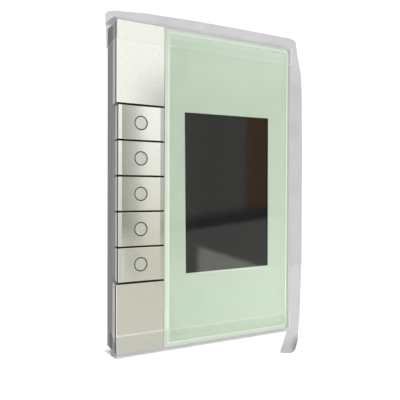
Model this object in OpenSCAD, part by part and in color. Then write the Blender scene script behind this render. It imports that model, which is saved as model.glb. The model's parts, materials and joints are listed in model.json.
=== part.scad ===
// Wall control panel: a column of five push keys beside a glass front with a display window.
// It is built in layers: a steel wall bracket, a base with its boards and in-wall housing,
// and a fascia that clips onto the base and carries the keys, the blank plates and the glass.
// The silver plates stand a shadow line in front of the grey strip that shows at the side.
//
// Millimetres. The origin is midway between the two wall screws, on the wall. Z is up, X is
// to the right as seen from the front, and Y goes into the wall, so the face looks along -Y.

/* [Panel] */
// Width of the front face
panel_w = 76; // [75:0.5:80]
// Height of the front face
panel_h = 116; // [114:0.5:122]
// Distance from the wall to the front face
panel_d = 10; // [10:0.1:12]
// Radius of the panel's outer corners
corner_r = 0.8; // [0.4:0.1:1.5]
// Distance between the centres of the two wall screws
screw_spacing = 84; // [83:0.5:85]
// Radius of the wall-screw holes in the bracket
screw_hole_r = 2.1; // [1.8:0.1:2.4]

/* [Glass and display] */
// Thickness of the front glass
glass_t = 3; // [2.8:0.1:3.2]
// Width of the polished bevel around the glass
glass_bevel = 1.5; // [0.5:0.1:1.8]
// Gap between the key column and the glass
glass_gap = 0.3; // [0.2:0.05:0.4]
// Width of the display window
window_w = 38.5; // [34:0.1:39]
// Height of the display window
window_h = 60.2; // [50:0.1:61]
// Place of the display window's middle, to the right of the panel's middle
window_x = 9.1; // [8:0.1:9.5]
// Place of the display window's middle, above the panel's middle
window_z = -1.5; // [-3:0.1:3]

/* [Key column] */
// Width of the silver column
column_w = 18.15; // [18:0.05:18.3]
// Distance between the middles of neighbouring keys
key_pitch = 12.5; // [12.4:0.05:12.8]
// Gap between neighbouring keys
key_gap = 0.65; // [0.4:0.05:0.8]
// Height of the middle key's centre
keys_z = -2; // [-4:0.1:2]
// Width of a key's face
key_w = 17.4; // [17.2:0.05:17.5]
// Thickness of the silver plates on the keys and the blanks
plate_t = 0.5; // [0.45:0.05:0.6]
// Depth of the shadow line behind the silver plates
shadow_line = 0.7; // [0.6:0.05:0.8]
// Depth of the shallow hollow in a key's face
dish_depth = 0.25; // [0.1:0.05:0.3]
// How far a key goes in
key_travel = 0.6; // [0.3:0.05:0.6]
// Outer radius of the ring mark around a key's lens
ring_r = 2.55; // [2.3:0.05:2.8]
// Width of the ring mark's groove
ring_w = 0.4; // [0.2:0.05:0.5]

/* [In-wall housing] */
// Width of the in-wall housing
housing_w = 50; // [48:0.5:50]
// Height of the in-wall housing
housing_h = 66; // [64:0.5:66]
// Depth of the in-wall housing behind the wall plane
housing_d = 22; // [21:0.5:28]
// Wall thickness of the in-wall housing
housing_t = 1.8; // [1.5:0.1:2]

/* [Dust cover] */
// Thickness of the clear dust cover
cover_t = 0.6; // [0.4:0.05:0.8]
// Clearance between the dust cover and the panel
cover_gap = 0.35; // [0.3:0.05:0.5]
// How far the dust cover's bands reach over the face, at the top and the bottom
cover_band = 6.5; // [4:0.5:8]
// How far the pull tab hangs below the panel
tab_drop = 10.5; // [6:0.5:14]

/* [Hidden] */
$fn = 48;

// ---- Layers along Y, from the wall to the face ----
bracket_t = 1.2;
base_floor_t = 0.8;
standoff_h = 0.4;
board_t = 1.6;
base_floor_back = -bracket_t;
base_floor_front = base_floor_back - base_floor_t;
board_back = base_floor_front - standoff_h;
board_front = board_back - board_t;
face = -panel_d;
glass_back = face + glass_t;
mask_t = 0.15;
tape_t = 0.25;
mask_back = glass_back + mask_t;
tape_back = mask_back + tape_t;
tray_t = 1.2;
tray_back = tape_back + tray_t;
strip_back = glass_back + 1;       // rear edge of the fascia's visible side strip
skirt_back = strip_back + 0.5;     // rear edge of the fascia's set-back skirt
base_front = strip_back + 0.6;     // front edge of the base, behind the shadow groove
plate_back = face + plate_t;
strip_front = plate_back + shadow_line;
key_back = strip_back - 0.1;       // rear edge of a key's visible side
roof_t = 0.6;                      // wall between a key's front and its hollow
tongue_back = key_back - 0.6;      // rear of the tongues that hold the keys
tongue_front = strip_front + roof_t + key_travel + 0.2;

// ---- Outline ----
left = -panel_w / 2;
column_right = left + column_w;
glass_left = column_right + glass_gap;
base_inset = 0.3;
base_wall = 1.6;
skirt_inset = 0.9;
skirt_t = 0.7;
rim_w = skirt_inset + skirt_t;     // full width of the fascia's rim

// ---- Keys ----
key_count = 5;
keys_h = key_count * key_pitch;
keys_top = keys_z + keys_h / 2;
keys_bottom = keys_z - keys_h / 2;
key_x = column_right - key_w / 2;
key_h = key_pitch - key_gap;
ring_x = left + column_w / 2 + 0.1;
neck_inset = 0.45;                 // how far the shadow line is set back
shell_t = 0.7;                     // thickness of a key's side walls
key_left = key_x - key_w / 2;
shell_right = column_right - 0.75;
web_left = column_right - 0.35;
tongue_h = key_h - 2 * shell_t - 0.6;
tongue_left = key_left + shell_t + 0.3;
tongue_rim = 1.2;                  // width of a tongue around its well
well_gap = 0.2;                    // clearance between a key's plunger and its well
plunger_left = tongue_left + tongue_rim + well_gap;
plunger_right = web_left - tongue_rim - well_gap;
plunger_h = tongue_h - 2 * (tongue_rim + well_gap);
flange_lap = 0.8;                  // how far the flange reaches behind the tongue
flange_front = tongue_back + 0.1;
lens_step = strip_front + 0.5;     // where the lens narrows to its stem
lens_stem_r = 1.2;
lens_back = board_front - 1.3;
dish_half = key_w / 2 - 1.35;
dish_bore = 4;                     // half-height of the ellipse that the hollow is cut with
dish_stretch = dish_half / sqrt(dish_bore * dish_bore - pow(dish_bore - dish_depth, 2));
dish_x = key_x - 0.2;
fit_gap = 0.05;

// ---- Tactile switches ----
switch_x = left + 5;
switch_w = 5;
switch_h = 1.3;
stem_r = 1.5;
stem_front = key_back + 0.1;
stem_back = board_front - 0.8;

// ---- Places of fasteners and pegs ----
peg_x = 33.5;
peg_z = panel_h / 2 - 4.5;
peg_r = 1.25;
screw_head_clear_r = 4.2;
board_screws = [[-20, 47], [-20, -47], [33, 45], [33, -45]];
board_w = 71.6;
board_h = 101;
housing_screw_x = housing_w / 2 - 5.2;
housing_screw_z = housing_h / 2 - 5.2;
tongue_x = 31;
tongue_z = 30;
tongue_w = 5;

// ---- Power board, connectors and display ----
power_board_front = 7;
power_board_back = power_board_front + board_t;
link_z = 20;                       // height of the board-to-board connector
link_w = 20;
link_pins = 8;
link_pitch = 2.4;
plug_z = -16;
plug_w = 15;
plug_h = 7.2;
plug_front = 12.6;
plug_back = housing_d + 4;
plug_poles = 4;
pole_pitch = 3.5;
socket_floor = 12;
socket_back = housing_d - 2.2;
bezel_w = window_w + 5.8;
bezel_h = window_h + 7.9;
bezel_t = 0.3;
lcd_front = tape_back + 0.1;
lcd_back = board_front - 0.2;
cell_back = lcd_front + 1.3;

// ---- Cover ----
cover_front = face - cover_gap - cover_t;
cover_back = -0.5;
cover_x = panel_w / 2 + cover_gap;
cover_z = panel_h / 2 + cover_gap;

// ---- Colours ----
silver = [0.80, 0.79, 0.74];
pale_green = [0.76, 0.87, 0.77];
light_grey = [0.62, 0.62, 0.61];
mid_grey = [0.42, 0.42, 0.42];
dark = [0.10, 0.10, 0.11];
board_green = [0.05, 0.32, 0.18];
steel = [0.70, 0.71, 0.72];
clear = [0.80, 0.80, 0.82, 0.6];

// ---- Shared shapes ----

// A flat layer between two depths; its outline is drawn with X across and Z up.
module layer(front, back) {
    translate([0, back, 0]) rotate([90, 0, 0]) linear_extrude(back - front) children();
}

// A round rod or bore that runs along Y.
module rod(x, z, r, front, back) {
    translate([x, back, z]) rotate([90, 0, 0]) cylinder(r = r, h = back - front);
}

// A rectangle between two corners.
module span(x0, x1, z0, z1) {
    translate([x0, z0]) square([x1 - x0, z1 - z0]);
}

// A rectangle about its middle, with round corners.
module rounded(w, h, r) {
    square([w - 2 * r, h], center = true);
    square([w, h - 2 * r], center = true);
    for (x = [-1, 1], z = [-1, 1]) {
        translate([x * (w / 2 - r), z * (h / 2 - r)]) circle(r);
    }
}

// A plain rectangle about a point.
module centred(x, z, w, h) {
    translate([x, z]) square([w, h], center = true);
}

// Repeats its children, one for each key.
module at_keys() {
    for (i = [1 : key_count]) translate([0, 0, key_centre(i)]) children();
}

function key_centre(i) = keys_top - (i - 0.5) * key_pitch;

// ---- Wall side ----

// Folded steel plate, screwed to the wall box; four tongues hold the base.
module mounting_bracket() {
    bracket_w = 71;
    bracket_h = 111;
    tongue_front = base_floor_front - 0.2;
    color(steel) {
        layer(-bracket_t, 0) difference() {
            rounded(bracket_w, bracket_h, 3);
            rounded(housing_w + 3, housing_h + 3, 2);
            for (s = [-1, 1]) translate([0, s * screw_spacing / 2]) circle(screw_hole_r);
            for (x = [-1, 1], z = [-1, 1]) centred(x * 24, z * 47, 12, 5);
        }
        layer(tongue_front, -bracket_t) {
            for (x = [-1, 1], z = [-1, 1]) {
                centred(x * tongue_x, z * tongue_z, 1, tongue_w);
            }
        }
    }
}

// Moulded base: an outer wall, a floor that carries the main board, and screw cups.
module base_frame() {
    outer_w = panel_w - 2 * base_inset;
    outer_h = panel_h - 2 * base_inset;
    cup_back = 0.8;
    color(mid_grey) difference() {
        union() {
            layer(base_front, 0) difference() {
                rounded(outer_w, outer_h, corner_r);
                square([outer_w - 2 * base_wall, outer_h - 2 * base_wall], center = true);
            }
            layer(base_floor_front, base_floor_back) {
                square([outer_w - base_wall, outer_h - base_wall], center = true);
            }
            for (p = board_screws) rod(p[0], p[1], 2.2, board_back, base_floor_front);
            for (x = [-1, 1], z = [-1, 1]) {
                rod(x * housing_screw_x, z * housing_screw_z, 2.6, base_floor_back, cup_back);
                rod(x * peg_x, z * peg_z, 2.4, board_front - 0.6, base_floor_front);
            }
        }
        for (s = [-1, 1]) {
            rod(0, s * screw_spacing / 2, screw_head_clear_r, base_floor_front - 1, 0);
        }
        for (p = board_screws) rod(p[0], p[1], 1.05, board_back - 1, 0);
        for (x = [-1, 1], z = [-1, 1]) {
            housing_screw_hole(x * housing_screw_x, z * housing_screw_z, cup_back + 1);
            rod(x * peg_x, z * peg_z, peg_r + fit_gap, board_front - 1, base_floor_front);
        }
        layer(base_floor_front - 0.5, 0) {
            centred(0, link_z, link_w + 4, 6);
            for (x = [-1, 1], z = [-1, 1]) {
                centred(x * tongue_x, z * tongue_z, 1.6, tongue_w + 0.6);
            }
        }
        // pry notch for lifting the fascia off
        layer(base_front - 0.5, base_front + 0.8) centred(0, -outer_h / 2, 10, 1.4);
    }
}

// Countersunk hole through a base cup.
module housing_screw_hole(x, z, back) {
    rod(x, z, 1.1, base_floor_front - 0.5, back);
    countersink(x, z, fit_gap);
}

// Cone of a countersunk head, with its wide end flush with the base floor.
module countersink(x, z, extra) {
    head_h = 1;
    translate([x, base_floor_front + head_h, z]) rotate([90, 0, 0]) {
        cylinder(r1 = 1 + extra, r2 = 2 + extra, h = head_h);
    }
}

// Box inside the wall: it holds the power board and takes the bus plug at its rear.
module rear_housing() {
    block = 6.6;
    inner_w = housing_w - 2 * housing_t;
    inner_h = housing_h - 2 * housing_t;
    rear = housing_d - housing_t;
    color(mid_grey) difference() {
        layer(base_floor_back, housing_d) rounded(housing_w, housing_h, 3);
        difference() {
            layer(base_floor_back - 1, rear) square([inner_w, inner_h], center = true);
            layer(0.9, 13) for (x = [-1, 1], z = [-1, 1]) {
                centred(x * (inner_w - block + 1) / 2, z * (inner_h - block + 1) / 2, block, block);
            }
            layer(power_board_back, rear + 1) for (x = [-1, 1], z = [-1, 1]) {
                centred(x * (inner_w / 2 - 1), z * 10, 2.4, 2);
            }
        }
        for (x = [-1, 1], z = [-1, 1]) {
            rod(x * housing_screw_x, z * housing_screw_z, 1 + fit_gap, 0, 11);
        }
        layer(rear - 1, housing_d + 1) centred(0, plug_z, plug_w + 3, plug_h + 3);
        // cooling slots in the top and bottom walls
        for (x = [-12 : 6 : 12]) {
            translate([x - 1, 10, -housing_h]) cube([2, 7, 2 * housing_h]);
        }
        // long grooves that locate the box between the wall box's lugs
        for (s = [-1, 1]) layer(4, housing_d + 1) centred(s * housing_w / 2, 0, 1.2, 8);
    }
}

// Blank label on the rear of the in-wall housing.
module rating_label() {
    color("white") layer(housing_d, housing_d + 0.12) {
        translate([0, 12]) rounded(34, 22, 1.5);
    }
}

// ---- Boards and what is on them ----

module main_pcb() {
    color(board_green) layer(board_front, board_back) difference() {
        rounded(board_w, board_h, 1);
        for (s = [-1, 1]) translate([0, s * screw_spacing / 2]) circle(screw_head_clear_r + 0.4);
        for (p = board_screws) translate(p) circle(1.1);
    }
}

module power_pcb() {
    notch = 7.4;
    w = housing_w - 2 * housing_t - 0.8;
    h = housing_h - 2 * housing_t - 0.8;
    color(board_green) layer(power_board_front, power_board_back) difference() {
        square([w, h], center = true);
        for (x = [-1, 1], z = [-1, 1]) centred(x * w / 2, z * h / 2, 2 * notch - 2, 2 * notch - 2);
    }
}

// Repeats its children across the pins of the board-to-board connector.
module at_link_pins() {
    for (i = [0 : link_pins - 1]) {
        translate([(i - (link_pins - 1) / 2) * link_pitch, link_z]) children();
    }
}

// Pin header on the rear of the main board.
module board_header() {
    color(dark) {
        layer(board_back, 0.6) centred(0, link_z, link_w, 2.4);
        layer(0.6, 5) at_link_pins() square(0.6, center = true);
    }
}

// Socket on the front of the power board that takes the header's pins.
module board_socket() {
    color(dark) difference() {
        layer(1, power_board_front) centred(0, link_z, link_w + 0.6, 2.8);
        layer(0, 6) at_link_pins() square(0.9, center = true);
    }
}

// Body of the tactile switch behind each key, with the bore that its stem runs in.
module switch_bodies() {
    color(steel) at_keys() difference() {
        layer(board_front - switch_h, board_front) centred(switch_x, 0, switch_w, switch_w);
        rod(switch_x, 0, stem_r + fit_gap, board_front - switch_h - 1, board_front - 0.1);
    }
}

// Stem of one tactile switch.
module switch_stem(i) {
    color(dark) rod(switch_x, key_centre(i), stem_r, stem_front, stem_back);
}

// Indicator lamp behind each key's lens.
module indicator_leds() {
    color("ivory") at_keys() layer(board_front - 0.6, board_front) centred(ring_x, 0, 1.6, 0.8);
}

// Processor, memory and clock crystal on the front of the main board.
module control_chips() {
    color(dark) {
        layer(board_front - 0.9, board_front) centred(14, 43, 7, 7);
        layer(board_front - 0.8, board_front) centred(24, 43, 5, 4);
        layer(board_front - 0.8, board_front) centred(14, 37, 3.2, 1.5);
    }
}

module piezo_sounder() {
    color(dark) difference() {
        rod(-11.5, -44, 4.5, board_front - 1.2, board_front);
        rod(-11.5, -44, 0.6, board_front - 2, board_front - 0.4);
    }
}

module capacitors() {
    color([0.2, 0.22, 0.35]) for (x = [-13, -5, 3]) rod(x, -8, 3, 0.5, power_board_front);
}

// Transformer that isolates the bus: a core with a winding around its middle leg.
module isolation_transformer() {
    color([0.25, 0.23, 0.2]) {
        layer(power_board_back, power_board_back + 9) difference() {
            centred(0, 6, 15, 13);
            centred(-4.6, 6, 1.8, 8);
            centred(4.6, 6, 1.8, 8);
        }
        layer(power_board_back + 1, power_board_back + 8) {
            centred(-4.6, 6, 1.8, 8);
            centred(4.6, 6, 1.8, 8);
        }
    }
}

// ---- Bus connection ----

module bus_socket() {
    color(dark) difference() {
        layer(power_board_back, socket_back) centred(0, plug_z, plug_w + 2.4, plug_h + 2.4);
        layer(socket_floor, socket_back + 1) centred(0, plug_z, plug_w + 0.4, plug_h + 0.4);
    }
}

// Repeats its children across the poles of the bus plug.
module at_poles() {
    for (i = [0 : plug_poles - 1]) {
        translate([(i - (plug_poles - 1) / 2) * pole_pitch, plug_z]) children();
    }
}

module bus_pins() {
    color("gold") layer(socket_floor, socket_floor + 4.5) at_poles() square(1, center = true);
}

// Pluggable screw terminal: pin sockets in front, wire entries at the rear, screws on top.
module bus_plug() {
    color([0.12, 0.35, 0.2]) difference() {
        layer(plug_front, plug_back) centred(0, plug_z, plug_w, plug_h);
        layer(plug_front - 1, 17.5) at_poles() square(1.5, center = true);
        layer(plug_back - 6, plug_back + 1) at_poles() centred(0, -0.8, 2.6, 2.8);
        at_terminal_screws() cylinder(r = 1.3, h = 4);
    }
}

// Repeats its children at the terminal screws, with Z along each screw.
module at_terminal_screws() {
    for (i = [0 : plug_poles - 1]) {
        x = (i - (plug_poles - 1) / 2) * pole_pitch;
        translate([x, plug_back - 3, plug_z + plug_h / 2 - 2.4]) children();
    }
}

module terminal_screws() {
    color(steel) at_terminal_screws() difference() {
        cylinder(r = 1.25, h = 2);
        translate([-2, -0.2, 1.4]) cube([4, 0.4, 1]);
    }
}

// ---- Screws inside ----

// Countersunk screws that hold the in-wall housing to the base.
module housing_screws() {
    color(steel) for (x = [-1, 1], z = [-1, 1]) {
        px = x * housing_screw_x;
        pz = z * housing_screw_z;
        difference() {
            union() {
                countersink(px, pz, 0);
                rod(px, pz, 1, base_floor_front + 0.5, 9);
            }
            cross_slot(px, pz, base_floor_front);
        }
    }
}

// Pan-head screws that hold the main board to the base.
module pcb_screws() {
    color(steel) for (p = board_screws) difference() {
        union() {
            rod(p[0], p[1], 1.9, board_front - 1.1, board_front);
            rod(p[0], p[1], 1, board_front - 0.1, base_floor_back - 0.1);
        }
        cross_slot(p[0], p[1], board_front - 1.1);
    }
}

// Cross recess in a screw head.
module cross_slot(x, z, front) {
    layer(front - 0.5, front + 0.5) {
        centred(x, z, 2.2, 0.4);
        centred(x, z, 0.4, 2.2);
    }
}

// ---- Display ----

module lcd_bezel() {
    color(steel) translate([window_x, 0, window_z]) difference() {
        layer(lcd_front, lcd_back) square([bezel_w, bezel_h], center = true);
        layer(lcd_front + bezel_t, lcd_back + 1) {
            square([bezel_w - 2 * bezel_t, bezel_h - 2 * bezel_t], center = true);
        }
        layer(lcd_front - 1, lcd_back) square([window_w + 1, window_h + 1.5], center = true);
        // slot for the flex
        layer(lcd_back - 0.7, lcd_back + 1) centred(0, -bezel_h / 2, 13, 2);
    }
}

module lcd_polarizer() {
    color("black") translate([window_x, 0, window_z]) layer(lcd_front + 0.1, lcd_front + bezel_t) {
        square([window_w + 0.6, window_h + 1.1], center = true);
    }
}

module lcd_cell() {
    color(dark) translate([window_x, 0, window_z]) layer(lcd_front + bezel_t, cell_back) {
        square([bezel_w - 1, bezel_h - 1.2], center = true);
    }
}

module lcd_backlight() {
    color("white") translate([window_x, 0, window_z]) layer(cell_back, lcd_back) {
        square([bezel_w - 1, bezel_h - 1.2], center = true);
    }
}

// Flat ribbon from the display's lower edge to its connector.
module lcd_flex() {
    flex_top = window_z - bezel_h / 2 + 0.6;
    color([0.75, 0.45, 0.1]) layer(lcd_back - 0.5, lcd_back - 0.3) {
        span(window_x - 6, window_x + 6, flex_top - 4.6, flex_top);
    }
}

module lcd_connector() {
    top = window_z - bezel_h / 2 - 4;
    color("ivory") layer(lcd_back - 0.8, board_front) {
        span(window_x - 7, window_x + 7, top - 3.5, top);
    }
}

// ---- Fascia ----

// Moulded fascia frame: the beds of the blank plates, a web with a tongue into each key, the
// tray under the glass, the side strip, and the set-back skirt that makes the shadow groove.
module fascia_frame() {
    inner_w = panel_w - 2 * rim_w;
    inner_h = panel_h - 2 * rim_w;
    overlap = 0.5;
    web_right = column_right + 0.1;
    color(light_grey) difference() {
        union() {
            // rim and skirt all round, left out beside the keys
            layer(glass_back, strip_back) difference() {
                rounded(panel_w, panel_h, corner_r);
                square([inner_w, inner_h], center = true);
                beside_keys();
            }
            layer(glass_back, skirt_back) difference() {
                square([panel_w - 2 * skirt_inset, panel_h - 2 * skirt_inset], center = true);
                square([inner_w, inner_h], center = true);
                beside_keys();
            }
            // tray under the glass, with a raised edge along the web
            layer(tape_back, tray_back) difference() {
                square([inner_w + overlap, inner_h + overlap], center = true);
                span(left, web_left, -panel_h, panel_h);
            }
            layer(glass_back, tape_back) {
                span(web_left, column_right + 0.85, -panel_h / 2 + 1, panel_h / 2 - 1);
            }
            // web between the keys and the glass
            layer(strip_front + 0.1, tape_back) {
                span(web_left, web_right, -panel_h / 2 + 1, panel_h / 2 - 1);
            }
            // beds of the two blank plates
            layer(strip_front, strip_back - 1.1) blank_beds(0);
            layer(plate_back, strip_front + 0.1) blank_beds(neck_inset);
            layer(strip_front, strip_back) intersection() {
                blank_beds(0);
                difference() {
                    square([panel_w, panel_h], center = true);
                    square([inner_w, inner_h], center = true);
                }
            }
            // tongues that reach into the hollow keys and hold them
            at_keys() layer(tongue_front, tongue_back) {
                span(tongue_left, web_right, -tongue_h / 2, tongue_h / 2);
            }
            // pegs that clip the fascia to the base
            for (s = [-1, 1]) {
                rod(peg_x, s * peg_z, peg_r, tray_back - 0.1, base_floor_front - 0.6);
                rod(-peg_x, s * peg_z, peg_r, strip_back - 1.2, base_floor_front - 0.6);
            }
        }
        // wells of the plungers
        at_keys() layer(tongue_front - 1, tongue_back + 1) {
            span(plunger_left - well_gap, plunger_right + well_gap,
                -plunger_h / 2 - well_gap, plunger_h / 2 + well_gap);
        }
        // opening for the display
        layer(tape_back - 1, tray_back + 1) {
            centred(window_x, window_z, bezel_w + 0.8, bezel_h + 0.8);
        }
        // holes for the pegs of the blank plates
        for (z = blank_peg_heights()) rod(ring_x, z, 1 + fit_gap, face, strip_back);
    }
}

// The stretch of the left rim that the keys replace.
module beside_keys() {
    span(left - 1, web_left, keys_bottom - 0.05, keys_top + 0.05);
}

// Outlines of the two beds, each drawn in by an inset on every side.
module blank_beds(inset) {
    intersection() {
        rounded(panel_w - 2 * inset, panel_h - 2 * inset, corner_r);
        union() {
            span(left, column_right - inset, keys_top + key_gap / 2 + inset, panel_h / 2);
            span(left, column_right - inset, -panel_h / 2, keys_bottom - key_gap / 2 - inset);
        }
    }
}

function blank_peg_heights() = [
    for (s = [-1, 1], d = [8, 20]) s * (panel_h / 2 - d)
];

// Front glass with a polished bevel on all four edges.
module front_glass() {
    b = glass_bevel;
    color(pale_green) intersection() {
        linear_extrude(panel_h, center = true) polygon([
            [glass_left, glass_back], [glass_left, face + b], [glass_left + b, face],
            [panel_w / 2 - b, face], [panel_w / 2, face + b], [panel_w / 2, glass_back]
        ]);
        translate([left, 0, 0]) rotate([90, 0, 90]) linear_extrude(panel_w) polygon([
            [glass_back, -panel_h / 2], [face + b, -panel_h / 2], [face, b - panel_h / 2],
            [face, panel_h / 2 - b], [face + b, panel_h / 2], [glass_back, panel_h / 2]
        ]);
        layer(face - 1, glass_back) rounded(panel_w, panel_h, corner_r);
    }
}

// Outline shared by the printed mask and the adhesive on the rear of the glass.
module glass_rear_outline() {
    edge = 0.1;
    inner_h = panel_h - 2 * rim_w;
    span(column_right + 0.95, panel_w / 2 - rim_w - edge, edge - inner_h / 2, inner_h / 2 - edge);
}

// Pale mask on the rear of the glass that leaves the display window clear.
module glass_mask() {
    color([0.72, 0.84, 0.74]) layer(glass_back, mask_back) difference() {
        glass_rear_outline();
        centred(window_x, window_z, window_w, window_h);
    }
}

module glass_tape() {
    color(dark) layer(mask_back, tape_back) difference() {
        glass_rear_outline();
        centred(window_x, window_z, bezel_w + 1, bezel_h + 1);
    }
}

// Foam gasket that keeps dust out from between the display and the glass.
module display_gasket() {
    color(dark) layer(mask_back, tape_back - 0.05) difference() {
        centred(window_x, window_z, bezel_w, bezel_h);
        centred(window_x, window_z, window_w + 1.6, window_h + 1.6);
    }
}

// One plain silver plate of the column, above or below the keys.
module blank(low, high, pegs) {
    color(silver) {
        layer(face, plate_back) intersection() {
            rounded(panel_w, panel_h, corner_r);
            span(left, column_right, low, high);
        }
        for (z = pegs) rod(ring_x, z, 1, plate_back - 0.1, strip_back - 1.4);
    }
}

module top_blank() {
    blank(keys_top + key_gap / 2, panel_h / 2, [for (z = blank_peg_heights()) if (z > 0) z]);
}

module bottom_blank() {
    blank(-panel_h / 2, keys_bottom - key_gap / 2, [for (z = blank_peg_heights()) if (z < 0) z]);
}

// Silver plate of one key, with a shallow hollow from side to side and a hole for the lens.
module key_cap(i) {
    color(silver) translate([0, 0, key_centre(i)]) difference() {
        layer(face, plate_back) centred(key_x, 0, key_w, key_h);
        translate([dish_x, face + dish_depth - dish_bore, 0]) scale([dish_stretch, 1, 1]) {
            cylinder(r = dish_bore, h = 2 * key_h, center = true, $fn = 256);
        }
        rod(ring_x, 0, ring_r, face - 1, plate_back + 1);
    }
}

// Body of one key: a set-back neck, a hollow shell whose side shows at the panel's edge,
// and a plunger with a flange that the fascia's tongue holds.
module key_body(i) {
    color(light_grey) translate([0, 0, key_centre(i)]) difference() {
        union() {
            layer(plate_back, strip_front + 0.1) {
                centred(key_x, 0, key_w - 2 * neck_inset, key_h - 2 * neck_inset);
            }
            layer(strip_front, key_back) difference() {
                span(key_left, shell_right, -key_h / 2, key_h / 2);
                span(key_left + shell_t, shell_right + 1, shell_t - key_h / 2, key_h / 2 - shell_t);
            }
            layer(strip_front, strip_front + roof_t) {
                span(key_left, shell_right, -key_h / 2, key_h / 2);
            }
            layer(strip_front + roof_t - 0.1, key_back) {
                span(plunger_left, plunger_right, -plunger_h / 2, plunger_h / 2);
            }
            layer(flange_front, key_back) {
                span(plunger_left - flange_lap, plunger_right + flange_lap,
                    -plunger_h / 2 - flange_lap, plunger_h / 2 + flange_lap);
            }
        }
        rod(ring_x, 0, ring_r, face, lens_step);
        rod(ring_x, 0, lens_stem_r + fit_gap, face, key_back + 1);
    }
}

// Lens of one key: a disc inside the ring mark, on a stem that reaches back to the lamp.
module key_lens(i) {
    lens_front = face + dish_depth + 0.02;
    color([0.72, 0.71, 0.67]) translate([0, 0, key_centre(i)]) {
        rod(ring_x, 0, ring_r - ring_w, lens_front, lens_front + 0.5);
        rod(ring_x, 0, ring_r - fit_gap, lens_front + 0.4, lens_step);
        rod(ring_x, 0, lens_stem_r, lens_step - 0.1, lens_back);
    }
}

// ---- Cover ----

// A point level with the panel's top or bottom edge and so far outside its left or right edge,
// then moved up.
function outside(x_side, out, z_side, up) = [
    x_side * (panel_w / 2 + out), z_side * panel_h / 2 + up
];

// Lip around the cover's mouth: narrow at its slanted left end, wide at the right, where it
// runs on into the pull tab.
module lip() {
    polygon([
        [-cover_x, panel_h / 2 - 6], outside(-1, 3.9, 1, -11), outside(-1, 4.4, 1, 0.8),
        outside(-1, 3.6, 1, 1.7), outside(-1, 1, 1, 2.3), outside(-0.74, 0, 1, 3.3),
        outside(-0.26, 0, 1, 3.9), outside(0.32, 0, 1, 4.1), outside(1, -0.5, 1, 4.1),
        outside(1, 1.4, 1, 3.6), outside(1, 2.3, 1, 2.6), outside(1, 3.2, 1, -2.5),
        outside(1, 4.1, 1, -6), outside(1, 5.1, 1, -10), outside(1, 5.7, 1, -18),
        outside(1, 6.1, 1, -43), outside(1, 6.2, -1, 28), outside(1, 5.5, -1, 7),
        outside(1, 4.5, -1, 5 - tab_drop), outside(1, 3.3, -1, 1.4 - tab_drop),
        outside(1, 2.4, -1, 0.5 - tab_drop), outside(1, 1.1, -1, -tab_drop),
        outside(1, -4.2, -1, 0.8 - tab_drop), outside(1, -4.4, -1, 1.6 - tab_drop),
        outside(1, -2.7, -1, 5.5 - tab_drop), outside(1, -1.1, -1, -1),
        [cover_x, -cover_z], [cover_x, cover_z], [-cover_x, cover_z]
    ]);
}

// Small flap that is left of the lip at the lower left corner.
module lip_end() {
    polygon([
        [-cover_x, 4.2 - panel_h / 2], outside(-1, 2.6, -1, 9), outside(-1, 3, -1, 8.2),
        outside(-1, 3.1, -1, 5.3), outside(-1, 2.3, -1, 0.5), [-cover_x, -cover_z - cover_t]
    ]);
}

// Clear dust cover: bands over the top and bottom of the face, walls that hug three sides,
// and an outward lip with a pull tab at the lower right corner.
module clear_dust_cover() {
    outer_x = cover_x + cover_t;
    outer_z = cover_z + cover_t;
    color(clear) {
        layer(cover_front, cover_back) difference() {
            square([2 * outer_x, 2 * outer_z], center = true);
            span(-outer_x - 1, cover_x, -cover_z, cover_z);
        }
        layer(cover_front, cover_front + cover_t) {
            span(-cover_x, cover_x, panel_h / 2 - cover_band, outer_z);
            span(-cover_x, cover_x, -outer_z, cover_band - panel_h / 2);
            lip();
            lip_end();
        }
    }
}

// ---- Nodes ----

mounting_bracket();
base_frame();
rear_housing();
main_pcb();
power_pcb();
board_header();
board_socket();
switch_bodies();
indicator_leds();
control_chips();
piezo_sounder();
lcd_polarizer();
lcd_cell();
lcd_backlight();
lcd_bezel();
lcd_flex();
lcd_connector();
capacitors();
isolation_transformer();
bus_socket();
bus_pins();
housing_screws();
pcb_screws();
rating_label();
fascia_frame();
front_glass();
glass_mask();
glass_tape();
display_gasket();
top_blank();
bottom_blank();
for (i = [1 : key_count]) {
    key_cap(i);
    key_body(i);
    key_lens(i);
    switch_stem(i);
}
bus_plug();
terminal_screws();
clear_dust_cover();
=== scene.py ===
"""Looks of a wall control panel: silver push keys beside a glass front with a dark display."""
import json
import math

import bmesh
import bpy
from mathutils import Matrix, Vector


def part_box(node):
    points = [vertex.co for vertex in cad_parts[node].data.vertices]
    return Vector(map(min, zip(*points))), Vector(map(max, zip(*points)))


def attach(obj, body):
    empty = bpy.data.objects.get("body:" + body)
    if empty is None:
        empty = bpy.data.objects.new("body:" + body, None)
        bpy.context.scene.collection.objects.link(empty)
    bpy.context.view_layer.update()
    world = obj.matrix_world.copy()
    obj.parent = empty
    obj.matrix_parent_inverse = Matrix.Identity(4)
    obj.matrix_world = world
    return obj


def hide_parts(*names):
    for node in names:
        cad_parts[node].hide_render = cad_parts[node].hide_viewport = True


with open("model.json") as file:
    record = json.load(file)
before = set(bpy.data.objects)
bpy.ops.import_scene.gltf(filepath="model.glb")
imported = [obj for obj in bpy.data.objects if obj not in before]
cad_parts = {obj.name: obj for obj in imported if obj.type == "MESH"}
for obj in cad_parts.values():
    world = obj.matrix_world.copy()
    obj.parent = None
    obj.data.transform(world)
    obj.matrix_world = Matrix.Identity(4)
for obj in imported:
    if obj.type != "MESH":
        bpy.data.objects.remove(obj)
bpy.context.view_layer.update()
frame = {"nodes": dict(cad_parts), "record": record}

MM = 0.001
SHADOW_LINE_END = -8.45 * MM
# Black for painted shade: it stands in for the shade in the gaps between keys and behind the silver plates.
PAINTED_SHADE = (0.012, 0.012, 0.012)

# ---------------------------------------------------------------- camera

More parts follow.
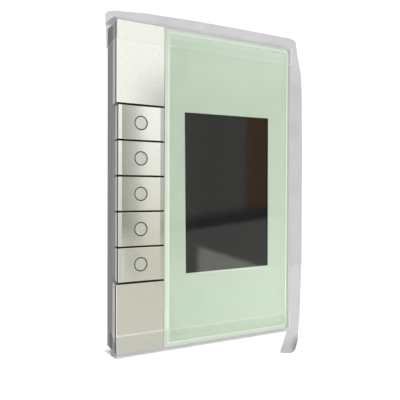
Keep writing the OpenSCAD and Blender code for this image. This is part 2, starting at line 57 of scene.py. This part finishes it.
CAMERA_PLACE = (-0.1047, -0.1825, -0.0011)
CAMERA_YAW = math.radians(30.06)      # turned towards +X from looking along +Y
CAMERA_PITCH = math.radians(-0.92)
CAMERA_ROLL = math.radians(-0.25)
LENS_MM = 47.7
SENSOR_MM = 36.0


def add_camera():
    data = bpy.data.cameras.new("camera")
    data.lens = LENS_MM
    data.sensor_width = SENSOR_MM
    data.clip_start = 0.01
    camera = bpy.data.objects.new("camera", data)
    camera.location = CAMERA_PLACE
    camera.rotation_euler = (math.pi / 2 + CAMERA_PITCH, CAMERA_ROLL, -CAMERA_YAW)
    bpy.context.collection.objects.link(camera)
    bpy.context.scene.camera = camera


# ---------------------------------------------------------------- materials


def math_node(tree, operation, first, second=None):
    """A Math node in a material or in the sky, fed with numbers or with other nodes' results."""
    node = tree.nodes.new("ShaderNodeMath")
    node.operation = operation
    for socket, value in zip(node.inputs, (first, second)):
        if isinstance(value, (int, float)):
            socket.default_value = value
        elif value is not None:
            tree.links.new(value, socket)
    return node.outputs["Value"]


class Finish:
    """A Principled material and short ways to give it grain."""

    def __init__(self, name, colour, roughness, metallic=0.0):
        self.material = bpy.data.materials.new(name)
        self.material.use_nodes = True
        self.nodes = self.material.node_tree.nodes
        self.links = self.material.node_tree.links
        self.shader = self.nodes["Principled BSDF"]
        self.colour = (*colour, 1.0)
        self.shader.inputs["Base Color"].default_value = self.colour
        self.shader.inputs["Roughness"].default_value = roughness
        self.shader.inputs["Metallic"].default_value = metallic
        self.coordinates = self.nodes.new("ShaderNodeTexCoord").outputs["Object"]

    def set(self, **values):
        for name, value in values.items():
            self.shader.inputs[name.replace("_", " ")].default_value = value
        return self

    def noise(self, size_mm, detail=2.0, stretch=(1, 1, 1)):
        """Noise whose features are about size_mm across."""
        place = self.nodes.new("ShaderNodeMapping")
        place.inputs["Scale"].default_value = stretch
        texture = self.nodes.new("ShaderNodeTexNoise")
        texture.inputs["Scale"].default_value = 1 / (size_mm * MM)
        texture.inputs["Detail"].default_value = detail
        self.links.new(self.coordinates, place.inputs["Vector"])
        self.links.new(place.outputs["Vector"], texture.inputs["Vector"])
        return texture.outputs["Fac"]

    def ranged(self, value, low, high, from_low=0.3, from_high=0.7):
        node = self.nodes.new("ShaderNodeMapRange")
        node.inputs["From Min"].default_value = from_low
        node.inputs["From Max"].default_value = from_high
        node.inputs["To Min"].default_value = low
        node.inputs["To Max"].default_value = high
        self.links.new(value, node.inputs["Value"])
        return node.outputs["Result"]

    def tint(self, value, spread):
        """Brightens and darkens the base colour by up to spread."""
        scale = self.nodes.new("ShaderNodeVectorMath")
        scale.operation = "SCALE"
        scale.inputs[0].default_value = self.colour[:3]
        self.links.new(self.ranged(value, 1 - spread, 1 + spread), scale.inputs["Scale"])
        self.links.new(scale.outputs["Vector"], self.shader.inputs["Base Color"])
        return self

    def rough(self, value, low, high):
        self.links.new(self.ranged(value, low, high), self.shader.inputs["Roughness"])
        return self

    def bump(self, value, height_mm, strength=0.6):
        node = self.nodes.new("ShaderNodeBump")
        node.inputs["Distance"].default_value = height_mm * MM
        node.inputs["Strength"].default_value = strength
        self.links.new(value, node.inputs["Height"])
        self.links.new(node.outputs["Normal"], self.shader.inputs["Normal"])
        return self

    def place(self, axis):
        """The coordinate along one axis, in the panel's own frame."""
        split = self.nodes.new("ShaderNodeSeparateXYZ")
        self.links.new(self.coordinates, split.inputs["Vector"])
        return split.outputs[axis]

    def facing(self, axis):
        """How far a face looks along one axis, either way."""
        split = self.nodes.new("ShaderNodeSeparateXYZ")
        self.links.new(self.nodes.new("ShaderNodeNewGeometry").outputs["True Normal"], split.inputs["Vector"])
        return self.math("ABSOLUTE", split.outputs[axis])

    def math(self, operation, first, second=None):
        return math_node(self, operation, first, second)

    def recolour(self, share, colour):
        """Blends the base colour towards another one."""
        base = self.shader.inputs["Base Color"]
        mix = self.nodes.new("ShaderNodeMix")
        mix.data_type = "RGBA"
        if base.links:
            self.links.new(base.links[0].from_socket, mix.inputs["A"])
        else:
            mix.inputs["A"].default_value = base.default_value
        if isinstance(colour, tuple):
            mix.inputs["B"].default_value = (*colour, 1)
        else:
            self.links.new(colour, mix.inputs["B"])
        self.links.new(share, mix.inputs["Factor"])
        self.links.new(mix.outputs["Result"], base)
        return self

    def lets_lamps_through(self):
        """Lets light from lamps and sky reach what is behind clear material."""
        self.path = path = self.nodes.new("ShaderNodeLightPath")
        clear = self.nodes.new("ShaderNodeBsdfTransparent")
        clear.inputs["Color"].default_value = self.colour
        mix = self.nodes.new("ShaderNodeMixShader")
        self.passing = mix.inputs["Fac"]
        self.links.new(path.outputs["Is Shadow Ray"], self.passing)
        self.links.new(self.shader.outputs["BSDF"], mix.inputs[1])
        self.links.new(clear.outputs["BSDF"], mix.inputs[2])
        self.links.new(mix.outputs["Shader"], self.nodes["Material Output"].inputs["Surface"])
        return self


def moulded(name, colour, roughness, grain_mm=0.25, height_mm=0.006):
    """Moulded plastic with a fine spark-eroded texture."""
    finish = Finish(name, colour, roughness)
    grain = finish.noise(grain_mm)
    broad = finish.noise(9)
    return finish.tint(broad, 0.04).rough(grain, roughness - 0.06, roughness + 0.06).bump(grain, height_mm)


def sheet_metal(name, colour, roughness, stretch=(1, 1, 14)):
    """Rolled or plated steel with a faint grain along one direction."""
    finish = Finish(name, colour, roughness, metallic=1.0)
    grain = finish.noise(3, detail=3, stretch=stretch)
    spots = finish.noise(1.2)
    return finish.tint(spots, 0.05).rough(grain, roughness - 0.08, roughness + 0.08).bump(grain, 0.003, 0.3)


def silver_finish(name, colour, roughness):
    """Satin champagne paint with metal flakes; the plate edges in the gaps between keys are painted dark, a painted
    shade for those gaps.
    """
    finish = Finish(name, colour, roughness, metallic=1.0)
    flakes = finish.noise(0.35, detail=1.0)
    fine = finish.noise(0.12, detail=0.0)
    finish.tint(flakes, 0.05).rough(fine, roughness - 0.03, roughness + 0.04).bump(flakes, 0.0016, 0.3)
    # painted shade: faces near the keys that look up or down are painted black, for the shade in the gaps between keys
    near_keys = finish.ranged(finish.math("ABSOLUTE", finish.place("Z")), 1.0, 0.0, 45 * MM, 46 * MM)
    cut = finish.ranged(finish.facing("Z"), 0.0, 1.0, 0.80, 0.90)
    return finish.recolour(finish.math("MULTIPLY", cut, near_keys), PAINTED_SHADE)


def side_plastic(name, colour, ends_too):
    """Moulded plastic with painted shade: its front is painted black, a painted shadow line behind the silver plates.
    With ends_too, faces that look up or down are painted black as well, painted shade for the gaps between keys."""
    finish = moulded(name, colour, 0.42)
    # painted shadow line: the front of the plastic, up to SHADOW_LINE_END, is painted black
    finish.recolour(finish.ranged(finish.place("Y"), 1.0, 0.0, SHADOW_LINE_END, SHADOW_LINE_END + 0.05 * MM), PAINTED_SHADE)
    if ends_too:
        # painted shade: faces looking up or down are painted black for the gaps between keys
        finish.recolour(finish.ranged(finish.facing("Z"), 0.0, 1.0, 0.75, 0.80), PAINTED_SHADE)
    return finish


def base_finish(name, colour, ledge_painted_light):
    """Moulded plastic with painted light: its front-facing ledge that shows beside the keys is painted lighter."""
    finish = moulded(name, colour, 0.5)
    # painted light: the front faces of the ledge get a lighter colour
    front = finish.ranged(finish.place("Y"), 1.0, 0.0, -5.2 * MM, -5.1 * MM)
    return finish.recolour(finish.math("MULTIPLY", front, finish.facing("Y")), ledge_painted_light)


def film_finish(name, roughness):
    """Clear film: quite clear over the face, greyer in the lip around it, whitish on the cut edges, and painted dark
    towards the lower right corner of the lip, a painted shade.
    It is too thin to bend light; a coat gives it its gloss."""
    finish = Finish(name, (0.985, 0.985, 0.99), roughness)
    finish.set(Transmission_Weight=1.0, IOR=1.01, Coat_Weight=1.0, Coat_IOR=1.45, Coat_Roughness=roughness)
    past_x, past_z = (finish.ranged(finish.math("ABSOLUTE", finish.place(axis)), 0.0, 1.0, edge * MM, (edge + 0.1) * MM)
                      for axis, edge in (("X", 38.2), ("Z", 58.2)))
    lip = finish.math("MAXIMUM", past_x, past_z)
    grey = finish.nodes.new("ShaderNodeMix")
    grey.data_type = "RGBA"
    grey.inputs["A"].default_value = (0.56, 0.55, 0.565, 1)
    grey.inputs["B"].default_value = (0.62, 0.61, 0.625, 1)
    finish.links.new(finish.ranged(finish.noise(9), 0.0, 1.0), grey.inputs["Factor"])
    finish.recolour(lip, grey.outputs["Result"])
    # painted shade: the lip darkens towards its lower right corner
    corner_shade = finish.math("MULTIPLY", finish.ranged(finish.place("Z"), 1.0, 0.0, -65.2 * MM, -60.5 * MM),
                         finish.ranged(finish.place("X"), 0.25, 1.0, 38.5 * MM, 43.3 * MM))
    finish.recolour(corner_shade, (0.09, 0.09, 0.09))
    in_front = finish.ranged(finish.place("Y"), 1.0, 0.0, -10.34 * MM, -10.30 * MM)
    cut = finish.math("MULTIPLY", in_front, finish.ranged(finish.facing("Y"), 1.0, 0.0, 0.2, 0.3))
    cut = finish.math("MULTIPLY", cut, finish.math("SUBTRACT", 1.0, lip))
    finish.links.new(finish.ranged(cut, 1.0, 0.45, 0.0, 1.0), finish.shader.inputs["Transmission Weight"])
    return finish.bump(finish.noise(6), 0.05, 0.3).lets_lamps_through()


def edge_finish(name, colour, right_painted_tone, deep_painted_tone):
    """Opaque edge of the glass, painted with the light and shade that clear polished edges show: painted shade darkens
    its side walls and where it looks up, and a painted tone changes it towards the right.
    It shows as it is, but light on its way to the print behind the glass passes through."""
    finish = moulded(name, colour, 0.45, 0.4, 0.002)
    # painted tone towards the right: painted shade on the edge, a painted highlight on the crease
    finish.recolour(finish.ranged(finish.place("X"), 0.0, 1.0, 36.2 * MM, 36.5 * MM), right_painted_tone)
    # painted tone on the deeper side walls, darker on the edge
    finish.recolour(finish.ranged(finish.place("Y"), 0.0, 1.0, -9.70 * MM, -9.60 * MM), deep_painted_tone)
    split = finish.nodes.new("ShaderNodeSeparateXYZ")
    finish.links.new(finish.nodes.new("ShaderNodeNewGeometry").outputs["True Normal"], split.inputs["Vector"])
    # painted shade where the edge looks up, against the light from above
    finish.recolour(finish.ranged(split.outputs["Z"], 0.0, 0.6, 0.2, 0.6), (0.12, 0.13, 0.11))
    path = finish.lets_lamps_through().path
    passes = finish.math("ADD", path.outputs["Is Shadow Ray"], path.outputs["Diffuse Depth"])
    finish.links.new(finish.math("MINIMUM", passes, 1.0), finish.passing)
    return finish


def print_finish(name, left_colour, right_painted_tone, edge_painted_light):
    """Print behind the glass, with painted light: a little lighter towards the right, and lighter at its edges, where
    the glass is shaded.
    """
    finish = moulded(name, left_colour, 0.6, 1.5, 0.001)
    low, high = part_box("front_glass")
    across = finish.place("X")
    # painted light: lighter towards the right
    finish.recolour(finish.ranged(across, 0.0, 1.0, low.x, high.x - 4 * MM), right_painted_tone)
    # painted light near the left edge
    finish.recolour(finish.ranged(across, 0.6, 0.0, low.x + 1.5 * MM, low.x + 3.5 * MM), edge_painted_light)
    upright = finish.math("ABSOLUTE", finish.place("Z"))
    # painted light near the top and bottom edges
    finish.recolour(finish.ranged(upright, 0.0, 0.8, high.z - 3.6 * MM, high.z - 1.6 * MM), edge_painted_light)
    # painted light near the right edge
    return finish.recolour(finish.ranged(across, 0.0, 1.0, high.x - 2.9 * MM, high.x - 0.9 * MM), edge_painted_light)


def clear_finish(name, colour, roughness, ior=1.5, grain_mm=4.0, height_mm=0.004):
    """Clear glass or plastic; broad low waves keep its reflections from being perfect."""
    finish = Finish(name, colour, roughness)
    finish.set(Transmission_Weight=1.0, IOR=ior)
    return finish.bump(finish.noise(grain_mm), height_mm, 0.3).lets_lamps_through()


FINISHES = {
    "bracket_steel": sheet_metal("bracket_steel", (0.60, 0.61, 0.62), 0.42),
    # the second colour is painted light on the front ledge
    "base_plastic": base_finish("base_plastic", (0.115, 0.115, 0.112), (0.36, 0.36, 0.35)),
    "housing_plastic": moulded("housing_plastic", (0.12, 0.12, 0.125), 0.55, 0.35, 0.010),
    "circuit_board": moulded("circuit_board", (0.02, 0.16, 0.07), 0.3, 0.8, 0.003),
    "black_plastic": moulded("black_plastic", (0.022, 0.022, 0.024), 0.5),
    "switch_steel": sheet_metal("switch_steel", (0.62, 0.62, 0.60), 0.35),
    "white_plastic": moulded("white_plastic", (0.80, 0.80, 0.77), 0.45),
    "display_film": moulded("display_film", (0.010, 0.010, 0.009), 0.5, 0.5, 0.001).set(Specular_IOR_Level=0.1),
    "display_glass": moulded("display_glass", (0.02, 0.021, 0.022), 0.15, 1.0, 0.001),
    "bezel_steel": sheet_metal("bezel_steel", (0.58, 0.59, 0.60), 0.35),
    "flex_film": moulded("flex_film", (0.42, 0.18, 0.03), 0.3, 1.0, 0.002),
    "capacitor_sleeve": moulded("capacitor_sleeve", (0.03, 0.04, 0.12), 0.3, 1.0, 0.002),
    "ferrite": moulded("ferrite", (0.06, 0.055, 0.05), 0.6, 0.4, 0.010),
    "contact_metal": sheet_metal("contact_metal", (0.83, 0.62, 0.28), 0.25),
    "screw_steel": sheet_metal("screw_steel", (0.68, 0.68, 0.67), 0.28),
    "label_paper": moulded("label_paper", (0.80, 0.80, 0.78), 0.45, 0.6, 0.002),
    "fascia_plastic": side_plastic("fascia_plastic", (0.31, 0.31, 0.305), False),
    "front_glass": clear_finish("front_glass", (0.975, 0.995, 0.975), 0.0, 1.5),
    # the print's second and third colours are painted light
    "glass_print": print_finish("glass_print", (0.60, 0.70, 0.58), (0.69, 0.79, 0.67), (0.92, 1.0, 0.90)),
    "black_tape": moulded("black_tape", (0.03, 0.03, 0.03), 0.8, 0.3, 0.010),
    "gasket_foam": moulded("gasket_foam", (0.03, 0.03, 0.03), 0.9, 0.5, 0.040),
    "silver_paint": silver_finish("silver_paint", (0.90, 0.90, 0.83), 0.12),
    "lens_plastic": silver_finish("lens_plastic", (0.82, 0.82, 0.77), 0.28),
    "terminal_green": moulded("terminal_green", (0.03, 0.22, 0.08), 0.35, 0.8, 0.003),
    "clear_plastic": film_finish("clear_plastic", 0.08),
}
EXTRAS = {
    "key_body": side_plastic("key_body_plastic", (0.31, 0.31, 0.305), True),
    # glass edge and crease: opaque colours with painted light and shade; the lighter crease is a painted highlight
    "glass_edge": edge_finish("glass_edge", (0.52, 0.60, 0.50), (0.38, 0.44, 0.365), (0.26, 0.31, 0.25)),
    "glass_crease": edge_finish("glass_crease", (0.60, 0.71, 0.58), (0.74, 0.86, 0.72), (0.74, 0.86, 0.72)),
    # a dark ring put in each key's ring groove, painted shade for the groove
    "ring_groove_shade": moulded("ring_groove_shade", (0.022, 0.024, 0.020), 0.5, 0.4, 0.002),
}

SLOT_OF = {row["node"]: row["material_slot"] for row in frame["record"]["subparts"]}


def paint_cad_nodes():
    for node, thing in frame["nodes"].items():
        finish = EXTRAS["key_body"] if node.startswith("key_body") else FINISHES[SLOT_OF[node]]
        for holder in thing.material_slots:
            holder.link = "OBJECT"
            holder.material = finish.material


# ---------------------------------------------------------------- shaping


def new_piece(name, bm):
    """A mesh object from a bmesh."""
    mesh = bpy.data.meshes.new(name)
    bm.normal_update()
    bm.to_mesh(mesh)
    bm.free()
    piece = bpy.data.objects.new(name, mesh)
    bpy.context.collection.objects.link(piece)
    return piece


def soften(thing, width_mm):
    """Rounds the sharp edges of a thing; what is flat stays flat in its shading."""
    weld = thing.modifiers.new("weld", "WELD")
    weld.merge_threshold = 0.002 * MM
    bevel = thing.modifiers.new("bevel", "BEVEL")
    bevel.width = width_mm * MM
    bevel.segments = 2
    bevel.limit_method = "ANGLE"
    bevel.angle_limit = math.radians(30)
    bevel.use_clamp_overlap = True


def dress(piece, slot, body, *nodes, finishes=()):
    """Gives a piece its finish, and puts it in place of CAD nodes."""
    for finish in finishes or (FINISHES[slot],):
        piece.data.materials.append(finish.material)
    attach(piece, body)
    if nodes:
        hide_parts(*nodes)


def ring_points(x, z, radius, count):
    return [(x + radius * math.cos(2 * math.pi * i / count),
             z + radius * math.sin(2 * math.pi * i / count)) for i in range(count)]


# ---------------------------------------------------------------- glass

GLASS_BORDER = 1.5 * MM
GLASS_BEVEL = 0.30 * MM
GLASS_CREASE = 0.22 * MM
GLASS_CORNER = 0.8 * MM
CORNER_STEPS = 6
# corners of the display window, X and Z, from the lower left one; the print sits a little askew
WINDOW = [(x * MM, z * MM) for x, z in ((-9.80, -31.85), (28.46, -31.33), (28.14, 28.88), (-10.54, 28.41))]


def glass_outline(low, high, inset):
    """The outline of the glass, drawn in by an inset; its corners are round on the right only."""
    radius = max(GLASS_CORNER - inset, 0.05 * MM)
    left, right, bottom, top = low.x + inset, high.x - inset, low.z + inset, high.z - inset
    turns = [math.pi / 2 * i / CORNER_STEPS for i in range(CORNER_STEPS + 1)]
    upper = [(right - radius + radius * math.sin(a), top - radius + radius * math.cos(a)) for a in turns]
    lower = [(right - radius + radius * math.cos(a), bottom + radius - radius * math.sin(a)) for a in turns]
    return [(left, bottom), (left, top)] + upper + lower


def add_glass():
    low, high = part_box("front_glass")
    front, back = low.y, high.y - 0.10 * MM
    levels = ((GLASS_BORDER + GLASS_CREASE, front), (GLASS_BORDER - GLASS_CREASE, front + 0.04 * MM),
              (0.0, front + GLASS_BEVEL), (0.0, back))
    bm = bmesh.new()
    loops = [[bm.verts.new((x, y, z)) for x, z in glass_outline(low, high, inset)] for inset, y in levels]
    bm.faces.new(loops[0])
    bm.faces.new(loops[-1][::-1])
    for finish, near, far in zip((2, 1, 1), loops, loops[1:]):
        for i in range(len(near)):
            j = (i + 1) % len(near)
            bm.faces.new((near[j], near[i], far[i], far[j])).material_index = finish
    bmesh.ops.recalc_face_normals(bm, faces=bm.faces)
    glass = new_piece("glass_plate", bm)
    dress(glass, "front_glass", "fascia", "front_glass",
          finishes=(FINISHES["front_glass"], EXTRAS["glass_edge"], EXTRAS["glass_crease"]))


def add_print():
    """The pale print on the rear of the glass, with the display window left clear."""
    glass_low, glass_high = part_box("front_glass")
    front, back = glass_high.y - 0.07 * MM, glass_high.y - 0.02 * MM
    inset = 0.15 * MM
    bm = bmesh.new()
    outer = [(glass_low.x + inset, glass_low.z + inset), (glass_high.x - inset, glass_low.z + inset),
             (glass_high.x - inset, glass_high.z - inset), (glass_low.x + inset, glass_high.z - inset)]
    rings = [[bm.verts.new((x, y, z)) for x, z in ring] for y in (front, back) for ring in (outer, WINDOW)]
    near_out, near_in, far_out, far_in = rings
    for i in range(4):
        j = (i + 1) % 4
        bm.faces.new((near_out[i], near_out[j], near_in[j], near_in[i]))
        bm.faces.new((far_out[j], far_out[i], far_in[i], far_in[j]))
        bm.faces.new((near_out[j], near_out[i], far_out[i], far_out[j]))
        bm.faces.new((near_in[i], near_in[j], far_in[j], far_in[i]))
    bmesh.ops.recalc_face_normals(bm, faces=bm.faces)
    print_layer = new_piece("glass_print_layer", bm)
    dress(print_layer, "glass_print", "fascia", "glass_mask")


# ---------------------------------------------------------------- keys

RING_X = -28.825 * MM
RING_R = 2.55 * MM
DISH_X = -28.75 * MM
DISH_HALF = 7.35 * MM
DISH_DEPTH = 0.25 * MM
DISH_STRIPS = 40
RING_STRIPS = 48
PLATE_SOFT = 0.05 * MM
RING_POINTS = 96


def dish(x):
    """How deep the hollow of a key is at x."""
    share = (x - DISH_X) / DISH_HALF
    return DISH_DEPTH * (1 - share * share) if abs(share) < 1 else 0.0


def plate_columns(low, high):
    """X positions across a key: fine steps through its hollow and around its ring."""
    hollow = [DISH_X + DISH_HALF * (2 * k / DISH_STRIPS - 1) for k in range(DISH_STRIPS + 1)]
    ring = [RING_X - RING_R * math.cos(math.pi * k / RING_STRIPS) for k in range(RING_STRIPS + 1)]
    beside = [x for x in hollow if abs(x - RING_X) > RING_R + 0.1 * MM]
    return sorted([low.x + PLATE_SOFT, high.x - PLATE_SOFT] + beside + ring)


def add_key_plate(i):
    """The silver plate of a key: hollow across its width, with a round hole for the lens."""
    low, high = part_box(f"key_cap_{i}")
    middle, soft = (low.z + high.z) / 2, PLATE_SOFT
    bm = bmesh.new()
    columns = []
    for x in plate_columns(low, high):
        front = low.y + dish(x)
        top = [bm.verts.new(at) for at in ((x, high.y, high.z), (x, front + soft, high.z), (x, front, high.z - soft))]
        end = [bm.verts.new(at) for at in ((x, high.y, low.z), (x, front + soft, low.z), (x, front, low.z + soft))]
        reach = RING_R ** 2 - (x - RING_X) ** 2
        half = math.sqrt(reach) if reach > 1e-10 else 0.0
        above = below = []
        if reach > -1e-10:
            above = [bm.verts.new((x, y, middle + half)) for y in (front, high.y)]
            below = [bm.verts.new((x, y, middle - half)) for y in (front, high.y)] if half else above
        columns.append((top, end, above, below))
    for (top_a, end_a, above_a, below_a), (top_b, end_b, above_b, below_b) in zip(columns, columns[1:]):
        for a, b in ((top_a, top_b), (end_a, end_b)):
            for k in (0, 1):
                bm.faces.new((a[k], b[k], b[k + 1], a[k + 1]))
        if above_a and above_b:
            for rim_a, rim_b, hole_a, hole_b in ((top_a, top_b, above_a, above_b), (end_a, end_b, below_a, below_b)):
                bm.faces.new((rim_a[2], rim_b[2], hole_b[0], hole_a[0]))
                bm.faces.new((rim_a[0], rim_b[0], hole_b[1], hole_a[1]))
                bm.faces.new((hole_a[0], hole_b[0], hole_b[1], hole_a[1]))
        else:
            bm.faces.new([top_a[2]] + above_a[:1] + [end_a[2], end_b[2]] + above_b[:1] + [top_b[2]])
            bm.faces.new([top_a[0]] + above_a[1:] + [end_a[0], end_b[0]] + above_b[1:] + [top_b[0]])
    for x, (top, end, _, _) in ((low.x, columns[0]), (high.x, columns[-1])):
        upper = [bm.verts.new((x, y, high.z - soft)) for y in (high.y, low.y + soft)]
        lower = [bm.verts.new((x, y, low.z + soft)) for y in (high.y, low.y + soft)]
        bm.faces.new((upper[0], upper[1], lower[1], lower[0]))
        bm.faces.new((top[2], upper[1], lower[1], end[2]))
        bm.faces.new((top[0], upper[0], lower[0], end[0]))
        for rim, side in ((top, upper), (end, lower)):
            bm.faces.new((rim[0], rim[1], side[1], side[0]))
            bm.faces.new((rim[1], rim[2], side[1]))
    bmesh.ops.recalc_face_normals(bm, faces=bm.faces)
    for face in bm.faces:
        face.smooth = True
    crease = (DISH_X - DISH_HALF, DISH_X + DISH_HALF)
    for edge in bm.edges:
        on_crease = any(all(abs(v.co.x - x) < 1e-6 for v in edge.verts) for x in crease)
        edge.smooth = not (on_crease or edge.calc_face_angle(0.0) > math.radians(20))
    plate = new_piece(f"key_plate_{i}", bm)
    dress(plate, "silver_paint", f"key_{i}", f"key_cap_{i}")


RING_W = 0.40 * MM
RING_GAP = 0.02 * MM


def add_ring_line(i):
    """A dark ring in the groove between a key's plate and its lens: painted shade, black put where the groove holds
    shade.
    """
    low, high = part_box(f"key_cap_{i}")
    middle = (low.z + high.z) / 2
    front, back = low.y + DISH_DEPTH + 0.03 * MM, low.y + DISH_DEPTH + 0.30 * MM
    bm = bmesh.new()
    loops = [[bm.verts.new((x, y, z)) for x, z in ring_points(RING_X, middle, r, RING_POINTS)]
             for r, y in ((RING_R - RING_GAP, front), (RING_R - RING_W + RING_GAP, front),
                          (RING_R - RING_W + RING_GAP, back), (RING_R - RING_GAP, back))]
    for a, b in zip(loops, loops[1:] + loops[:1]):
        for k in range(RING_POINTS):
            j = (k + 1) % RING_POINTS
            bm.faces.new((a[k], a[j], b[j], b[k]))
    bmesh.ops.recalc_face_normals(bm, faces=bm.faces)
    ring = new_piece(f"ring_line_{i}", bm)
    dress(ring, "black_plastic", f"key_{i}", finishes=(EXTRAS["ring_groove_shade"],))


# ---------------------------------------------------------------- studio

FLOOR_Z = -0.30
FLOOR_HALF = 1.5


def add_floor():
    """A pale floor, white behind the panel and a little warmer and darker in front of it."""
    bpy.ops.mesh.primitive_plane_add(size=2 * FLOOR_HALF, location=(0, 0, FLOOR_Z))
    floor = bpy.context.object
    floor.name = "floor"
    paint = moulded("floor_paint", (0.95, 0.95, 0.95), 0.8, 8.0, 0.05)
    split = paint.nodes.new("ShaderNodeSeparateXYZ")
    paint.links.new(paint.coordinates, split.inputs["Vector"])
    mix = paint.nodes.new("ShaderNodeMix")
    mix.data_type = "RGBA"
    mix.inputs["A"].default_value = (0.66, 0.66, 0.66, 1)
    mix.inputs["B"].default_value = (0.36, 0.355, 0.33, 1)
    paint.links.new(paint.ranged(split.outputs["Y"], 0.0, 1.0, -0.05, -0.60), mix.inputs["Factor"])
    paint.links.new(mix.outputs["Result"], paint.shader.inputs["Base Color"])
    paint.set(Specular_IOR_Level=0.1)
    floor.data.materials.append(paint.material)


class Sky:
    """The studio's soft light as a sky, built from directions."""

    def __init__(self):
        world = bpy.data.worlds.new("studio")
        bpy.context.scene.world = world
        world.use_nodes = True
        self.nodes = world.node_tree.nodes
        self.links = world.node_tree.links
        self.background = self.nodes["Background"]
        direction = self.nodes.new("ShaderNodeTexCoord").outputs["Generated"]
        split = self.nodes.new("ShaderNodeSeparateXYZ")
        self.links.new(direction, split.inputs["Vector"])
        self.x, self.y, self.z = (split.outputs[axis] for axis in "XYZ")

    def math(self, operation, first, second=None):
        return math_node(self, operation, first, second)

    def step(self, value, start, end):
        """Goes smoothly from 0 at start to 1 at end, in degrees."""
        node = self.nodes.new("ShaderNodeMapRange")
        node.interpolation_type = "SMOOTHSTEP"
        node.inputs["From Min"].default_value = math.radians(start)
        node.inputs["From Max"].default_value = math.radians(end)
        self.links.new(value, node.inputs["Value"])
        return node.outputs["Result"]

    def mix(self, factor, first, second):
        node = self.nodes.new("ShaderNodeMix")
        node.data_type = "RGBA"
        self.links.new(factor, node.inputs["Factor"])
        for name, value in (("A", first), ("B", second)):
            if isinstance(value, tuple):
                node.inputs[name].default_value = (*value, 1)
            else:
                self.links.new(value, node.inputs[name])
        return node.outputs["Result"]


BRIGHT = (1.00, 1.01, 1.00)
OVERHEAD = (2.1, 2.1, 2.1)
SHADE = (0.34, 0.34, 0.32)
LOW_SHADE = (0.40, 0.40, 0.36)
BROWN = (0.31, 0.15, 0.08)
BELOW = (0.62, 0.61, 0.54)
TABLE = (0.46, 0.46, 0.45)
TABLE_EDGE = (0.05, 0.06, 0.08)
WHITE_SHEET = (1.6, 1.6, 1.5)
BACKDROP = (1.06, 1.06, 1.06)


def add_sky():
    """White backdrop; in front, a bright wall with a shaded gap to its right, and soft light above.
    The gap holds a brown patch, the dark edge of a table, the table and a white sheet on it."""
    sky = Sky()
    around = sky.math("ARCTAN2", sky.x, sky.math("MULTIPLY", sky.y, -1))
    height = sky.math("ARCSINE", sky.z)
    into_gap = sky.math("ADD", sky.math("MULTIPLY", sky.step(around, 22, 26), 0.72),
                        sky.math("MULTIPLY", sky.step(around, 25, 31), 0.28))
    in_gap = sky.math("MULTIPLY", into_gap, sky.step(around, 62, 48))
    low_gap = sky.math("MULTIPLY", in_gap, sky.step(height, 14, 9))
    level = sky.math("SUBTRACT", height, sky.math("MULTIPLY", around, 0.16))
    shade = sky.mix(sky.step(height, -1, -6), SHADE, LOW_SHADE)
    shade = sky.mix(sky.step(around, 34.5, 35.5), shade, BROWN)
    shade = sky.mix(sky.step(level, -6.7, -8.2), shade, TABLE_EDGE)
    shade = sky.mix(sky.step(level, -8.5, -9.2), shade, TABLE)
    slope = sky.math("ADD", height, sky.math("MULTIPLY", around, 0.30))
    sheet = sky.math("MULTIPLY", sky.step(slope, 3.4, 2.6), sky.step(around, 29.4, 30.4))
    shade = sky.mix(sheet, shade, WHITE_SHEET)
    lower = sky.mix(sky.step(height, -9, 9), BELOW, BRIGHT)
    front = sky.mix(low_gap, lower, shade)
    above = sky.mix(sky.step(height, 22, 50), front, OVERHEAD)
    to_front = sky.math("MULTIPLY", sky.step(around, -100, -85), sky.step(around, 100, 85))
    behind = sky.mix(sky.step(height, 22, 50), BACKDROP, OVERHEAD)
    whole = sky.mix(to_front, behind, above)
    seen = sky.nodes.new("ShaderNodeLightPath").outputs["Is Camera Ray"]
    sky.links.new(sky.mix(seen, whole, BACKDROP), sky.background.inputs["Color"])


LOW_LAMP = (0.02, -0.24, -0.22)
LOW_LAMP_AIM = (0.01, -0.01, -0.03)
LOW_LAMP_SIZE = 0.25
LOW_LAMP_WATTS = 0.5


def add_low_lamp():
    """A soft lamp low in front, which lifts the lower part of the face without showing in it."""
    data = bpy.data.lights.new("low_lamp", "AREA")
    data.size = LOW_LAMP_SIZE
    data.energy = LOW_LAMP_WATTS
    lamp = bpy.data.objects.new("low_lamp", data)
    lamp.location = LOW_LAMP
    lamp.rotation_euler = (Vector(LOW_LAMP_AIM) - Vector(LOW_LAMP)).to_track_quat("-Z", "Y").to_euler()
    lamp.visible_glossy = False
    lamp.visible_transmission = False
    bpy.context.collection.objects.link(lamp)


# ---------------------------------------------------------------- build

# rounding of the edges, in mm, for CAD nodes whose names start like this
EDGE_ROUNDING = {
    "top_blank": 0.06, "bottom_blank": 0.06, "key_lens_": 0.06,
    "base_frame": 0.20, "rear_housing": 0.20, "mounting_bracket": 0.20, "bus_plug": 0.20, "bus_socket": 0.20,
    "key_body_": 0.08, "fascia_frame": 0.08, "clear_dust_cover": 0.08,
}

add_camera()
paint_cad_nodes()
for node, thing in frame["nodes"].items():
    for start, width_mm in EDGE_ROUNDING.items():
        if node.startswith(start):
            soften(thing, width_mm)
add_glass()
add_print()
for i in range(1, 6):
    add_key_plate(i)
    add_ring_line(i)
add_floor()
add_sky()
add_low_lamp()
bpy.context.scene.view_settings.view_transform = "Standard"
